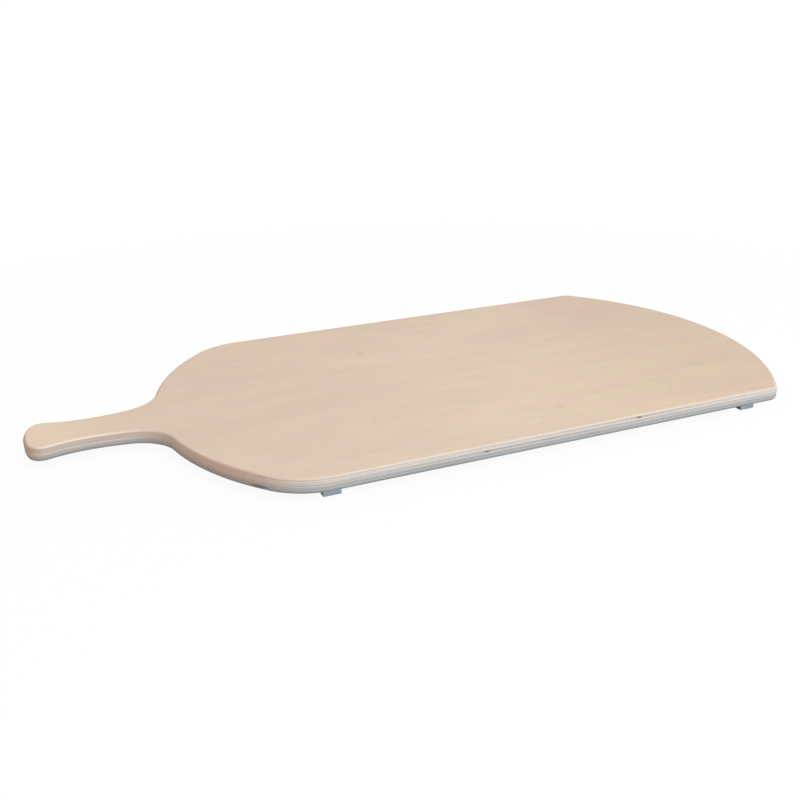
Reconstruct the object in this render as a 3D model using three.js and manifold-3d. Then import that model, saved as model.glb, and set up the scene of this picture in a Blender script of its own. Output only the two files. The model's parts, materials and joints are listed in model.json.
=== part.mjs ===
// Paddle-shaped pizza board: a birch plywood panel, pressed from nine veneers and routed round its edge,
// on two aluminium cross bars that keep it flat and lift it off the table.
// Millimetres, +X from the handle to the bowed end, +Y across the board, +Z up.
// The origin lies under the middle of the board, on the surface that the bars stand on.
import * as THREE from "three";
import { mergeVertices } from "three/addons/utils/BufferGeometryUtils.js";
import Module from "manifold-3d";

// Panel
const BOARD_LENGTH = 665;
const BOARD_WIDTH = 340;
const BOARD_THICKNESS = 12;
const PLY_COUNT = 9;
const GLUE_LINE = 0.1;
const EDGE_RADIUS = 3;

// Plan of the handle
const HANDLE_LENGTH = 103; // from the tip to the crown of the shoulder arc
const TIP_RADIUS = 68;
const TIP_CORNER_RADIUS = 12;
const WAIST_FROM_TIP = 50;
const WAIST_WIDTH = 43;
const GRIP_SIDE_RADIUS = 100; // hollow side from the waist out to the tip
const ROOT_SIDE_RADIUS = 160; // hollow side from the waist in to the neck
const NECK_RADIUS = 38;

// Plan of the body
const SHOULDER_RADIUS = 222;
const SHOULDER_CORNER_RADIUS = 60;
const BOW_RADIUS = 260;
const BOW_CORNER_RADIUS = 12;

// Cross bars of flat stock: one lies where the straight sides begin, the other a little before they end
const BAR_WIDTH = 14;
const BAR_HEIGHT = 8;
const BAR_INSET = 10; // from the board's side to the end of the bar
const BAR_CORNER_RADIUS = 0.6; // upright corners of the sawn ends
const BAR_EDGE_BREAK = 0.4;
const BOWED_BAR_SETBACK = 15.6;

// Countersunk wood screws, driven up through the bars
const SCREW_DIAMETER = 3.5;
const SCREW_HEAD_DIAMETER = 7;
const SCREW_HEAD_RIM = 0.4;
const SCREW_HEAD_SUNK = 0.5; // below the underside of the bar
const SCREW_BITE = 8.5; // depth in the panel
const SCREW_POINT = 4;
const SCREW_END_MARGIN = 20; // from the end of the bar
const SCREW_CLEARANCE = 0.3;
const DRIVE_SPAN = 4;
const DRIVE_SLOT = 0.9;
const DRIVE_DEPTH = 1.6;

// Fineness of the faceted curves
const PLAN_TOLERANCE = 0.12;
const SAME_POINT = 1e-4;
const EDGE_STEPS = 4;
const SCREW_SIDES = 16;

const wasm = await Module();
wasm.setup();

// Finishes, in the colours of pale birch, dull aluminium and zinc-plated steel
const finishes = {
  longGrain: new THREE.MeshStandardMaterial({ color: 0xdfcab6, roughness: 0.6, metalness: 0 }),
  endGrain: new THREE.MeshStandardMaterial({ color: 0xc2a78e, roughness: 0.8, metalness: 0 }),
  aluminium: new THREE.MeshStandardMaterial({ color: 0xa6abb0, roughness: 0.45, metalness: 1 }),
  steel: new THREE.MeshStandardMaterial({ color: 0x8e9094, roughness: 0.35, metalness: 1 }),
};

// Solids and meshes
function solidOf(geometry) {
  const bare = geometry.clone();
  bare.deleteAttribute("normal");
  bare.deleteAttribute("uv");
  const merged = mergeVertices(bare, SAME_POINT);
  return new wasm.Manifold(
    new wasm.Mesh({
      numProp: 3,
      vertProperties: merged.attributes.position.array,
      triVerts: new Uint32Array(merged.index.array),
    }),
  );
}

function meshOf(name, solid, finish) {
  const { vertProperties, triVerts } = solid.getMesh();
  const geometry = new THREE.BufferGeometry();
  geometry.setAttribute("position", new THREE.BufferAttribute(vertProperties, 3));
  geometry.setIndex(new THREE.BufferAttribute(triVerts, 1));
  geometry.computeVertexNormals();
  const mesh = new THREE.Mesh(geometry, finish);
  mesh.name = name;
  return mesh;
}

// Plan: arcs that run into each other without a corner
const bearing = (from, to) => Math.atan2(to.y - from.y, to.x - from.x);

// The centre that lies at two given distances from two other centres, the lower of the two that do
function lowerCentre(a, distanceA, b, distanceB) {
  const span = a.distanceTo(b);
  const along = (distanceA ** 2 - distanceB ** 2 + span ** 2) / (2 * span);
  const aside = Math.sqrt(distanceA ** 2 - along ** 2);
  const direction = b.clone().sub(a).normalize();
  const foot = a.clone().addScaledVector(direction, along);
  const offset = new THREE.Vector2(-direction.y, direction.x).multiplyScalar(aside);
  const [one, other] = [foot.clone().add(offset), foot.clone().sub(offset)];
  return one.y < other.y ? one : other;
}

function arc(centre, radius, from, to) {
  const step = 2 * Math.acos(1 - PLAN_TOLERANCE / radius);
  const count = Math.max(2, Math.ceil(Math.abs(to - from) / step));
  return Array.from({ length: count + 1 }, (_, i) => {
    const angle = from + ((to - from) * i) / count;
    return new THREE.Vector2(centre.x + radius * Math.cos(angle), centre.y + radius * Math.sin(angle));
  });
}

const halfWidth = BOARD_WIDTH / 2;
const tipX = -BOARD_LENGTH / 2;
const onAxis = (x) => new THREE.Vector2(x, 0);

const tipCentre = onAxis(tipX + TIP_RADIUS);
const gripCentre = new THREE.Vector2(tipX + WAIST_FROM_TIP, WAIST_WIDTH / 2 + GRIP_SIDE_RADIUS);
const tipCornerCentre = lowerCentre(
  tipCentre,
  TIP_RADIUS - TIP_CORNER_RADIUS,
  gripCentre,
  GRIP_SIDE_RADIUS + TIP_CORNER_RADIUS,
);
const rootCentre = new THREE.Vector2(gripCentre.x, WAIST_WIDTH / 2 + ROOT_SIDE_RADIUS);
const shoulderCentre = onAxis(tipX + HANDLE_LENGTH + SHOULDER_RADIUS);
const neckCentre = lowerCentre(
  rootCentre,
  ROOT_SIDE_RADIUS - NECK_RADIUS,
  shoulderCentre,
  SHOULDER_RADIUS + NECK_RADIUS,
);
const bowCentre = onAxis(BOARD_LENGTH / 2 - BOW_RADIUS);

// The centre of a corner that rounds an end arc into the straight side; direction is -1 or 1 along X
function cornerCentre(endCentre, endRadius, cornerRadius, direction) {
  const y = halfWidth - cornerRadius;
  const reach = Math.sqrt((endRadius - cornerRadius) ** 2 - y ** 2);
  return new THREE.Vector2(endCentre.x + direction * reach, y);
}
const shoulderCorner = cornerCentre(shoulderCentre, SHOULDER_RADIUS, SHOULDER_CORNER_RADIUS, -1);
const bowCorner = cornerCentre(bowCentre, BOW_RADIUS, BOW_CORNER_RADIUS, 1);

// Half of the plan, from the handle's tip round the +Y side to the crown of the bowed end
function halfPlan() {
  const down = -Math.PI / 2;
  const up = Math.PI / 2;
  const tipToCorner = bearing(tipCentre, tipCornerCentre);
  const cornerToGrip = bearing(tipCornerCentre, gripCentre);
  const gripToCorner = bearing(gripCentre, tipCornerCentre);
  const rootToNeck = bearing(rootCentre, neckCentre);
  const neckToShoulder = bearing(neckCentre, shoulderCentre);
  const shoulderToNeck = bearing(shoulderCentre, neckCentre);
  const shoulderToCorner = bearing(shoulderCentre, shoulderCorner);
  const bowToCorner = bearing(bowCentre, bowCorner);
  const points = [
    arc(tipCentre, TIP_RADIUS, Math.PI, tipToCorner),
    arc(tipCornerCentre, TIP_CORNER_RADIUS, tipToCorner, cornerToGrip),
    arc(gripCentre, GRIP_SIDE_RADIUS, gripToCorner, down),
    arc(rootCentre, ROOT_SIDE_RADIUS, down, rootToNeck),
    arc(neckCentre, NECK_RADIUS, rootToNeck, neckToShoulder),
    arc(shoulderCentre, SHOULDER_RADIUS, shoulderToNeck, shoulderToCorner),
    arc(shoulderCorner, SHOULDER_CORNER_RADIUS, shoulderToCorner, up),
    arc(bowCorner, BOW_CORNER_RADIUS, up, bowToCorner),
    arc(bowCentre, BOW_RADIUS, bowToCorner, 0),
  ].flat();
  return points.filter((point, i) => i === 0 || point.distanceTo(points[i - 1]) > SAME_POINT);
}

function boardPlan() {
  const half = halfPlan();
  const mirrored = half.slice(1, -1).reverse().map((point) => new THREE.Vector2(point.x, -point.y));
  return new THREE.Shape([...half, ...mirrored]);
}

// Panel with its routed round-over, cut level by level into the veneers that it was pressed from
function routedPanel() {
  const geometry = new THREE.ExtrudeGeometry(boardPlan(), {
    depth: BOARD_THICKNESS - 2 * EDGE_RADIUS,
    bevelThickness: EDGE_RADIUS,
    bevelSize: EDGE_RADIUS,
    bevelOffset: -EDGE_RADIUS,
    bevelSegments: EDGE_STEPS,
  });
  return solidOf(geometry.translate(0, 0, BAR_HEIGHT + EDGE_RADIUS));
}

const plyThickness = (BOARD_THICKNESS - (PLY_COUNT - 1) * GLUE_LINE) / PLY_COUNT;

function plySlab(level) {
  const base = BAR_HEIGHT + level * (plyThickness + GLUE_LINE);
  const geometry = new THREE.BoxGeometry(2 * BOARD_LENGTH, 2 * BOARD_WIDTH, plyThickness);
  return solidOf(geometry.translate(0, 0, base + plyThickness / 2));
}

function plyName(level) {
  if (level === 0) return "back_veneer";
  if (level === PLY_COUNT - 1) return "face_veneer";
  return `core_ply_${PLY_COUNT - 1 - level}`;
}

// Screws: a revolved profile, which also cuts its own hole when it is grown by the clearance
function screwSolid(grown, mouth) {
  const head = SCREW_HEAD_DIAMETER / 2 + grown;
  const shank = SCREW_DIAMETER / 2 + grown;
  const rim = SCREW_HEAD_SUNK + SCREW_HEAD_RIM;
  const neck = rim + head - shank;
  const end = BAR_HEIGHT + SCREW_BITE + grown;
  const profile = [
    [0, mouth],
    [head, mouth],
    [head, rim],
    [shank, neck],
    [shank, end - SCREW_POINT],
    [0, end],
  ].map(([radius, height]) => new THREE.Vector2(radius, height));
  return solidOf(new THREE.LatheGeometry(profile, SCREW_SIDES).rotateX(Math.PI / 2));
}

const screwHole = screwSolid(SCREW_CLEARANCE, -BAR_HEIGHT);

function crossDrive() {
  const slot = (x, y) =>
    solidOf(new THREE.BoxGeometry(x, y, 2 * DRIVE_DEPTH).translate(0, 0, SCREW_HEAD_SUNK));
  return slot(DRIVE_SPAN, DRIVE_SLOT).add(slot(DRIVE_SLOT, DRIVE_SPAN));
}

const screw = screwSolid(0, SCREW_HEAD_SUNK).subtract(crossDrive());

// Bars: flat stock sawn to length, with its corners and sharp edges broken
const barLength = BOARD_WIDTH - 2 * BAR_INSET;

function barBlank() {
  const centre = new THREE.Vector2(BAR_WIDTH / 2 - BAR_CORNER_RADIUS, barLength / 2 - BAR_CORNER_RADIUS);
  const corners = [
    [1, 1],
    [-1, 1],
    [-1, -1],
    [1, -1],
  ].flatMap(([x, y], quarter) => {
    const from = (quarter * Math.PI) / 2;
    const at = new THREE.Vector2(x * centre.x, y * centre.y);
    return arc(at, BAR_CORNER_RADIUS, from, from + Math.PI / 2);
  });
  const geometry = new THREE.ExtrudeGeometry(new THREE.Shape(corners), {
    depth: BAR_HEIGHT - 2 * BAR_EDGE_BREAK,
    bevelThickness: BAR_EDGE_BREAK,
    bevelSize: BAR_EDGE_BREAK,
    bevelOffset: -BAR_EDGE_BREAK,
    bevelSegments: 1,
  });
  return solidOf(geometry.translate(0, 0, BAR_EDGE_BREAK));
}

const bars = [
  { end: "handle_end", x: shoulderCorner.x },
  { end: "bowed_end", x: bowCorner.x - BOWED_BAR_SETBACK },
];
const screwReach = barLength / 2 - SCREW_END_MARGIN;
const screwRow = [
  { side: "right", y: -screwReach },
  { side: "middle", y: 0 },
  { side: "left", y: screwReach },
];
const screwPlaces = bars.flatMap(({ end, x }) =>
  screwRow.map(({ side, y }) => ({ name: `${end}_screw_${side}`, at: [x, y, 0] })),
);

// Assembly
const group = new THREE.Group();
const panel = routedPanel();
for (let level = PLY_COUNT - 1; level >= 0; level -= 1) {
  let ply = panel.intersect(plySlab(level));
  for (const { at } of screwPlaces) ply = ply.subtract(screwHole.translate(at));
  const finish = level % 2 === 0 ? finishes.longGrain : finishes.endGrain;
  group.add(meshOf(plyName(level), ply, finish));
}

const barSolid = screwRow.reduce(
  (blank, { y }) => blank.subtract(screwHole.translate([0, y, 0])),
  barBlank(),
);
for (const { end, x } of bars) {
  const bar = meshOf(`${end}_bar`, barSolid, finishes.aluminium);
  bar.position.x = x;
  group.add(bar);
}

for (const { name, at } of screwPlaces) {
  const mesh = meshOf(name, screw, finishes.steel);
  mesh.position.set(...at);
  group.add(mesh);
}

export default group;
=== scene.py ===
# %% [markdown]
# # A pizza board of birch plywood
# The board is a paddle cut from nine-ply birch, rounded over all along its edge, on two aluminium cross
# bars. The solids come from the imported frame, in metres, and they stay where they are. This lesson
# dresses them: each ply, bar and screw is made again in the same place with a finer surface, each kind
# gets its own finish, and the glue between the plies is added.

# %% Load the frame
import json
import math

import bmesh
import bpy
from mathutils import Matrix, Vector


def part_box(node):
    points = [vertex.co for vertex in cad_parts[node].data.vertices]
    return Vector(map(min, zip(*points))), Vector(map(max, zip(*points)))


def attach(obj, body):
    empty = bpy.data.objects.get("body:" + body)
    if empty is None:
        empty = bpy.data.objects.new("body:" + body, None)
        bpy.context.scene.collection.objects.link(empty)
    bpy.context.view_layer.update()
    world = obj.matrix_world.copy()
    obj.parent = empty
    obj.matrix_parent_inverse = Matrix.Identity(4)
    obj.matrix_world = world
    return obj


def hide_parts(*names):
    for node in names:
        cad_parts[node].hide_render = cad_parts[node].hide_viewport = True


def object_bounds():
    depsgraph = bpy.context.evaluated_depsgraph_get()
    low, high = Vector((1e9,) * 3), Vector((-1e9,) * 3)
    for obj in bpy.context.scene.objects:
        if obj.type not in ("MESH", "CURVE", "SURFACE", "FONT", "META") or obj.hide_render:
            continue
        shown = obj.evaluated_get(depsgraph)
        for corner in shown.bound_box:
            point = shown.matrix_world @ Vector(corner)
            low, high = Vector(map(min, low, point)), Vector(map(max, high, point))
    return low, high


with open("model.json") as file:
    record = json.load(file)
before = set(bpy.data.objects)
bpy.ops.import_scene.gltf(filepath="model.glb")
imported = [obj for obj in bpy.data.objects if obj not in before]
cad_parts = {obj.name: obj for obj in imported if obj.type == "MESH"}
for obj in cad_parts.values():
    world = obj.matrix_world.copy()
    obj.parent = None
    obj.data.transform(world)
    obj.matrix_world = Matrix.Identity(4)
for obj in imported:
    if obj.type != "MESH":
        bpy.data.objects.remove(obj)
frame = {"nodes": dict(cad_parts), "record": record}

MILLIMETRE = 0.001
cad_low, cad_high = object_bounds()
slot_of = {part["node"]: part["material_slot"] for part in frame["record"]["subparts"]}
cad_size = [round((high - low) / MILLIMETRE, 1) for low, high in zip(cad_low, cad_high)]
print("frame:", len(frame["nodes"]), "nodes, box in mm", cad_size)

# %% [markdown]
# ## Writing node trees by hand
# Nearly every shape and finish below is a node tree. In the editor a tree is wired by dragging; in a
# script each node takes three or four lines unless a helper does it. `place` adds a node and feeds it:
# a socket is linked, and anything else becomes the input's own value. `grown` runs a tree on a sketch
# and keeps the outcome as a plain mesh, because a piece that is handed on should not depend on a live
# modifier.

# %% Helpers for node trees
def place(tree, kind, feeds=None, **settings):
    """Add a node to a tree, with its settings, and link or set its inputs."""
    made = tree.nodes.new(kind)
    for setting, value in settings.items():
        setattr(made, setting, value)
    for key, feed in (feeds or {}).items():
        if isinstance(feed, bpy.types.NodeSocket):
            tree.links.new(feed, made.inputs[key])
        else:
            made.inputs[key].default_value = feed
    return made


def maths(tree, operation, *values):
    """The result of one sum on sockets or numbers."""
    return place(tree, "ShaderNodeMath", dict(enumerate(values)), operation=operation).outputs[0]


def height_of(tree, vector):
    """The Z of a place or a direction."""
    return place(tree, "ShaderNodeSeparateXYZ", {"Vector": vector}).outputs["Z"]


def new_tree(name, inputs):
    """An empty geometry tree with named inputs; gives the tree, its input sockets and its output node."""
    tree = bpy.data.node_groups.new(name, "GeometryNodeTree")
    for title, kind in inputs.items():
        tree.interface.new_socket(title, in_out="INPUT", socket_type="NodeSocket" + kind)
    tree.interface.new_socket("Geometry", in_out="OUTPUT", socket_type="NodeSocketGeometry")
    return tree, tree.nodes.new("NodeGroupInput").outputs, tree.nodes.new("NodeGroupOutput")


def close_tree(tree, leave, geometry, material):
    """End a tree: instances become real faces, and every face takes the material."""
    real = place(tree, "GeometryNodeRealizeInstances", {"Geometry": geometry}).outputs[0]
    done = place(tree, "GeometryNodeSetMaterial", {"Geometry": real, "Material": material}).outputs[0]
    tree.links.new(done, leave.inputs[0])


# %% Helpers that keep what a tree makes
def settled(piece):
    """Turn what a piece's modifiers make into its plain mesh; drop them and any empty material slot."""
    depsgraph = bpy.context.evaluated_depsgraph_get()
    evaluated = piece.evaluated_get(depsgraph)
    mesh = bpy.data.meshes.new_from_object(evaluated, preserve_all_data_layers=True, depsgraph=depsgraph)
    piece.modifiers.clear()
    piece.data = mesh
    mesh.name = piece.name
    for i in reversed(range(len(mesh.materials))):
        if mesh.materials[i] is None:
            mesh.materials.pop(index=i)
    return piece


def shown(name, mesh):
    """An object at the origin that shows a mesh."""
    piece = bpy.data.objects.new(name, mesh)
    bpy.context.scene.collection.objects.link(piece)
    return piece


def grown(name, sketch, tree, sizes):
    """Run a tree on a sketch with the given sizes, and keep the outcome as a piece at the origin."""
    piece = shown(name, sketch)
    modifier = piece.modifiers.new(name, "NODES")
    modifier.node_group = tree
    for item in tree.interface.items_tree:
        if item.in_out == "INPUT" and item.name in sizes:
            modifier[item.identifier] = sizes[item.name]
    return settled(piece)


# %% [markdown]
# ## The outline
# The plan of the board is a chain of arcs that run into each other without a corner: a slightly bowed
# tip, a handle with hollow sides, a tight neck, a broad shoulder, straight sides and a bowed far end.
# Tracing it by eye with a Bezier curve would leave flat spots, so each arc's centre is worked out from
# the arcs beside it: two arcs touch smoothly where the line between their centres meets them. Only half
# is worked out, and the other half mirrors it.

# %% Sizes of the outline
plan_low, plan_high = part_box("core_ply_4")
tip_x, bow_x, half_width = plan_low.x, plan_high.x, plan_high.y

HANDLE_LENGTH = 0.103
TIP_RADIUS = 0.068
TIP_CORNER_RADIUS = 0.012
WAIST_FROM_TIP = 0.050
WAIST_WIDTH = 0.043
GRIP_SIDE_RADIUS = 0.100
ROOT_SIDE_RADIUS = 0.160
NECK_RADIUS = 0.038
SHOULDER_RADIUS = 0.222
SHOULDER_CORNER_RADIUS = 0.060
BOW_RADIUS = 0.260
BOW_CORNER_RADIUS = 0.012
plan_size = [round(side / MILLIMETRE, 1) for side in (bow_x - tip_x, 2 * half_width)]
print("plan:", plan_size, "mm")

# %% Arcs that touch
OUTLINE_TOLERANCE = 0.01 * MILLIMETRE


def bearing(start, end):
    """The direction from one point to another, as an angle."""
    return math.atan2(end.y - start.y, end.x - start.x)


def arc(centre, radius, start, end):
    """Points on an arc, close enough that no chord strays further than the tolerance."""
    step = 2 * math.acos(1 - OUTLINE_TOLERANCE / radius)
    count = max(2, math.ceil(abs(end - start) / step))
    angles = [start + (end - start) * i / count for i in range(count + 1)]
    return [centre + radius * Vector((math.cos(angle), math.sin(angle))) for angle in angles]


def lower_centre(a, reach_a, b, reach_b):
    """The lower of the two points that lie at the given distances from two centres."""
    span = (b - a).length
    along = (reach_a**2 - reach_b**2 + span**2) / (2 * span)
    aside = math.sqrt(reach_a**2 - along**2)
    direction = (b - a).normalized()
    foot = a + direction * along
    offset = Vector((-direction.y, direction.x)) * aside
    return min(foot + offset, foot - offset, key=lambda point: point.y)


def corner_centre(end_centre, end_radius, corner_radius, direction):
    """The centre of the arc that rounds an end into the straight side."""
    y = half_width - corner_radius
    return Vector((end_centre.x + direction * math.sqrt((end_radius - corner_radius) ** 2 - y**2), y))


# %% Draw the outline
SAME_POINT = 0.001 * MILLIMETRE
QUARTER_TURN = math.pi / 2


def half_plan():
    """The outline from the tip round the +Y side to the crown of the bowed end."""
    tip = Vector((tip_x + TIP_RADIUS, 0))
    grip_stain_and_highlight = Vector((tip_x + WAIST_FROM_TIP, WAIST_WIDTH / 2 + GRIP_SIDE_RADIUS))
    root = Vector((grip_stain_and_highlight.x, WAIST_WIDTH / 2 + ROOT_SIDE_RADIUS))
    shoulder = Vector((tip_x + HANDLE_LENGTH + SHOULDER_RADIUS, 0))
    bow = Vector((bow_x - BOW_RADIUS, 0))
    tip_reach, grip_reach = TIP_RADIUS - TIP_CORNER_RADIUS, GRIP_SIDE_RADIUS + TIP_CORNER_RADIUS
    tip_corner = lower_centre(tip, tip_reach, grip_stain_and_highlight, grip_reach)
    root_reach, shoulder_reach = ROOT_SIDE_RADIUS - NECK_RADIUS, SHOULDER_RADIUS + NECK_RADIUS
    neck = lower_centre(root, root_reach, shoulder, shoulder_reach)
    shoulder_corner = corner_centre(shoulder, SHOULDER_RADIUS, SHOULDER_CORNER_RADIUS, -1)
    bow_corner = corner_centre(bow, BOW_RADIUS, BOW_CORNER_RADIUS, 1)
    up, down = QUARTER_TURN, -QUARTER_TURN
    stretches = [
        arc(tip, TIP_RADIUS, math.pi, bearing(tip, tip_corner)),
        arc(tip_corner, TIP_CORNER_RADIUS, bearing(tip, tip_corner), bearing(tip_corner, grip_stain_and_highlight)),
        arc(grip_stain_and_highlight, GRIP_SIDE_RADIUS, bearing(grip_stain_and_highlight, tip_corner), down),
        arc(root, ROOT_SIDE_RADIUS, down, bearing(root, neck)),
        arc(neck, NECK_RADIUS, bearing(root, neck), bearing(neck, shoulder)),
        arc(shoulder, SHOULDER_RADIUS, bearing(shoulder, neck), bearing(shoulder, shoulder_corner)),
        arc(shoulder_corner, SHOULDER_CORNER_RADIUS, bearing(shoulder, shoulder_corner), up),
        arc(bow_corner, BOW_CORNER_RADIUS, up, bearing(bow, bow_corner)),
        arc(bow, BOW_RADIUS, bearing(bow, bow_corner), 0),
    ]
    return [point for stretch in stretches for point in stretch]


def loop_sketch(name, points):
    """A closed ring of edges through the points, leaving out points that repeat the one before."""
    kept = [point for i, point in enumerate(points) if (point - points[i - 1]).length > SAME_POINT]
    count = len(kept)
    sketch = bpy.data.meshes.new(name)
    sketch.from_pydata([(*point, 0) for point in kept], [(i, (i + 1) % count) for i in range(count)], [])
    return sketch


far_half = half_plan()
near_half = [Vector((point.x, -point.y)) for point in far_half]
board_sketch = loop_sketch("board_outline", near_half + far_half[::-1])
print("outline:", len(board_sketch.vertices), "points")

# %% [markdown]
# ## One tree for everything cut from sheet or bar
# A ply is a flat sheet with a shaped edge, and so is a bar: an outline, a thickness and a rounding.
# Extruding and bevelling would do for the whole panel, but a single ply takes only its own slice of the
# rounding. So the tree sweeps a short section along the outline. The section is worked out by how far
# one has travelled along the panel's edge from its middle: straight at first, then round the quarter
# circle, then on to the flat. A ply is the stretch between two such distances. The open rims are
# filled, and the tree stores two things that the finish will need: how much each point belongs to the
# edge, and how squarely the edge cuts the grain there.

# %% The section of a shaped edge
def edge_section(tree, given):
    """The slice of the rounded edge as a curve, from its upper end to its lower one."""
    radius, thickness = given["Edge radius"], given["Thickness"]
    line = place(tree, "GeometryNodeCurvePrimitiveLine").outputs[0]
    counted = {"Curve": line, "Count": given["Section points"]}
    steps = place(tree, "GeometryNodeResampleCurve", counted).outputs[0]
    share = place(tree, "GeometryNodeSplineParameter").outputs["Factor"]
    ends = {"Value": share, "To Min": given["Upper end"], "To Max": given["Lower end"]}
    travel = place(tree, "ShaderNodeMapRange", ends).outputs[0]
    half = maths(tree, "MULTIPLY", thickness, 0.5)
    straight = maths(tree, "SUBTRACT", half, radius)
    reach = maths(tree, "ABSOLUTE", travel)
    past = maths(tree, "MAXIMUM", maths(tree, "SUBTRACT", reach, straight), 0)
    round_length = maths(tree, "MULTIPLY", radius, QUARTER_TURN)
    turn = maths(tree, "DIVIDE", maths(tree, "MINIMUM", past, round_length), radius)
    flat = maths(tree, "MAXIMUM", maths(tree, "SUBTRACT", past, round_length), 0)
    drawn_in = maths(tree, "MULTIPLY", radius, maths(tree, "SUBTRACT", 1, maths(tree, "COSINE", turn)))
    inset = maths(tree, "ADD", drawn_in, flat)
    upright = maths(tree, "MINIMUM", reach, straight)
    rise = maths(tree, "MULTIPLY_ADD", radius, maths(tree, "SINE", turn), upright)
    middle = maths(tree, "ADD", given["Base height"], half)
    height = maths(tree, "MULTIPLY_ADD", rise, maths(tree, "SIGN", travel), middle)
    # A curve swept with upright normals carries its section's X outwards and its Y downwards.
    outwards = maths(tree, "MULTIPLY", inset, -1)
    downwards = maths(tree, "MULTIPLY", height, -1)
    spot = place(tree, "ShaderNodeCombineXYZ", {"X": outwards, "Y": downwards}).outputs[0]
    marked = place(tree, "GeometryNodeCaptureAttribute")
    marked.capture_items.new("FLOAT", "Down the edge")
    tree.links.new(steps, marked.inputs["Geometry"])
    tree.links.new(share, marked.inputs["Down the edge"])
    bent = {"Geometry": marked.outputs["Geometry"], "Position": spot}
    section = place(tree, "GeometryNodeSetPosition", bent).outputs[0]
    return section, marked.outputs["Down the edge"]


# %% The tree for plies and bars
def with_grain_marks(tree, band, grain):
    """Store on the edge how far it is from lying flat, and how squarely it cuts the grain."""
    normal = place(tree, "GeometryNodeInputNormal").outputs[0]
    edge = maths(tree, "SUBTRACT", 1, maths(tree, "ABSOLUTE", height_of(tree, normal)))
    product = place(tree, "ShaderNodeVectorMath", {0: normal, 1: grain}, operation="DOT_PRODUCT")
    end_grain = maths(tree, "ABSOLUTE", product.outputs["Value"])
    for name, value in (("edge", edge), ("end_grain", end_grain)):
        feeds = {"Geometry": band, "Name": name, "Value": value}
        band = place(tree, "GeometryNodeStoreNamedAttribute", feeds, domain="CORNER").outputs[0]
    return band


def rim_fill(tree, band, chosen):
    """Flat faces inside one rim of the band, at the rim's own height."""
    picked = {"Geometry": band, "Selection": chosen}
    rim = place(tree, "GeometryNodeSeparateGeometry", picked, domain="EDGE").outputs[0]
    position = place(tree, "GeometryNodeInputPosition").outputs[0]
    height = height_of(tree, position)
    level = place(tree, "GeometryNodeAttributeStatistic", {"Geometry": rim, "Attribute": height})
    curve = place(tree, "GeometryNodeMeshToCurve", {"Mesh": rim}).outputs[0]
    fill = place(tree, "GeometryNodeFillCurve", {"Curve": curve}).outputs[0]
    lift = place(tree, "ShaderNodeCombineXYZ", {"Z": level.outputs["Mean"]}).outputs[0]
    return place(tree, "GeometryNodeSetPosition", {"Geometry": fill, "Offset": lift}).outputs[0]


def joined(tree, *parts):
    """Several geometries as one."""
    together = place(tree, "GeometryNodeJoinGeometry")
    for part in parts:
        tree.links.new(part, together.inputs[0])
    return together.outputs[0]


def sheet_tree():
    """The tree that makes a ply or a bar from its outline."""
    inputs = {
        "Geometry": "Geometry",
        "Base height": "Float",
        "Thickness": "Float",
        "Edge radius": "Float",
        "Upper end": "Float",
        "Lower end": "Float",
        "Section points": "Int",
        "Grain": "Vector",
        "Material": "Material",
    }
    tree, given, leave = new_tree("shaped_sheet", inputs)
    outline = place(tree, "GeometryNodeMeshToCurve", {"Mesh": given["Geometry"]}).outputs[0]
    path = place(tree, "GeometryNodeSetCurveNormal", {"Curve": outline}, mode="Z_UP").outputs[0]
    section, down = edge_section(tree, given)
    swept = place(tree, "GeometryNodeCurveToMesh", {"Curve": path, "Profile Curve": section}).outputs[0]
    smooth = place(tree, "GeometryNodeSetShadeSmooth", {"Geometry": swept, "Shade Smooth": True}).outputs[0]
    band = with_grain_marks(tree, smooth, given["Grain"])
    faces = place(tree, "GeometryNodeInputMeshEdgeNeighbors").outputs["Face Count"]
    on_rim = place(tree, "FunctionNodeCompare", {"A": faces, "B": 1}, data_type="INT", operation="EQUAL")
    in_upper_half = maths(tree, "LESS_THAN", down, 0.5)
    upper_rim = maths(tree, "MULTIPLY", on_rim.outputs[0], in_upper_half)
    lower_rim = maths(tree, "SUBTRACT", on_rim.outputs[0], upper_rim)
    top = rim_fill(tree, band, upper_rim)
    bottom = place(tree, "GeometryNodeFlipFaces", {"Mesh": rim_fill(tree, band, lower_rim)}).outputs[0]
    lids = {"Geometry": joined(tree, top, bottom), "Shade Smooth": False}
    flat_lids = place(tree, "GeometryNodeSetShadeSmooth", lids).outputs[0]
    sewn = {"Geometry": joined(tree, band, flat_lids), "Distance": SAME_POINT}
    closed = place(tree, "GeometryNodeMergeByDistance", sewn).outputs[0]
    close_tree(tree, leave, closed, given["Material"])
    return tree


shaped_sheet = sheet_tree()
print("tree:", shaped_sheet.name, len(shaped_sheet.nodes), "nodes")

# %% [markdown]
# ## The birch
# Birch is pale, even and nearly without figure: peeled veneer shows soft blotches, faint wandering
# bands and short fibres along the grain. On the edge the plies alternate, because each sheet is laid
# across the one below. Where the edge runs with the grain it is pale, and where it cuts the grain
# square it drinks in more light and looks darker. Painting stripes would go wrong round the handle,
# where the two swap over. So the finish is a solid wood, worked out in the object's own space, with the
# stored end-grain value choosing between the two edge colours.

# %% Helpers for patterns and colours
def noise(tree, vector, scale, detail=2.0):
    """A soft random pattern from 0 to 1; the scale is in cells to the metre."""
    feeds = {"Vector": vector, "Scale": scale, "Detail": detail}
    return place(tree, "ShaderNodeTexNoise", feeds).outputs[0]


def stretched(tree, vector, stretch):
    """The same space with each axis scaled, so that a pattern is drawn out where the scale is small."""
    return place(tree, "ShaderNodeMapping", {"Vector": vector, "Scale": stretch}).outputs[0]


def blend(tree, share, first, second, way="MIX"):
    """Two colours mixed, or multiplied."""
    feeds = {0: share, 6: first, 7: second}
    return place(tree, "ShaderNodeMix", feeds, data_type="RGBA", blend_type=way).outputs[2]


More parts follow.
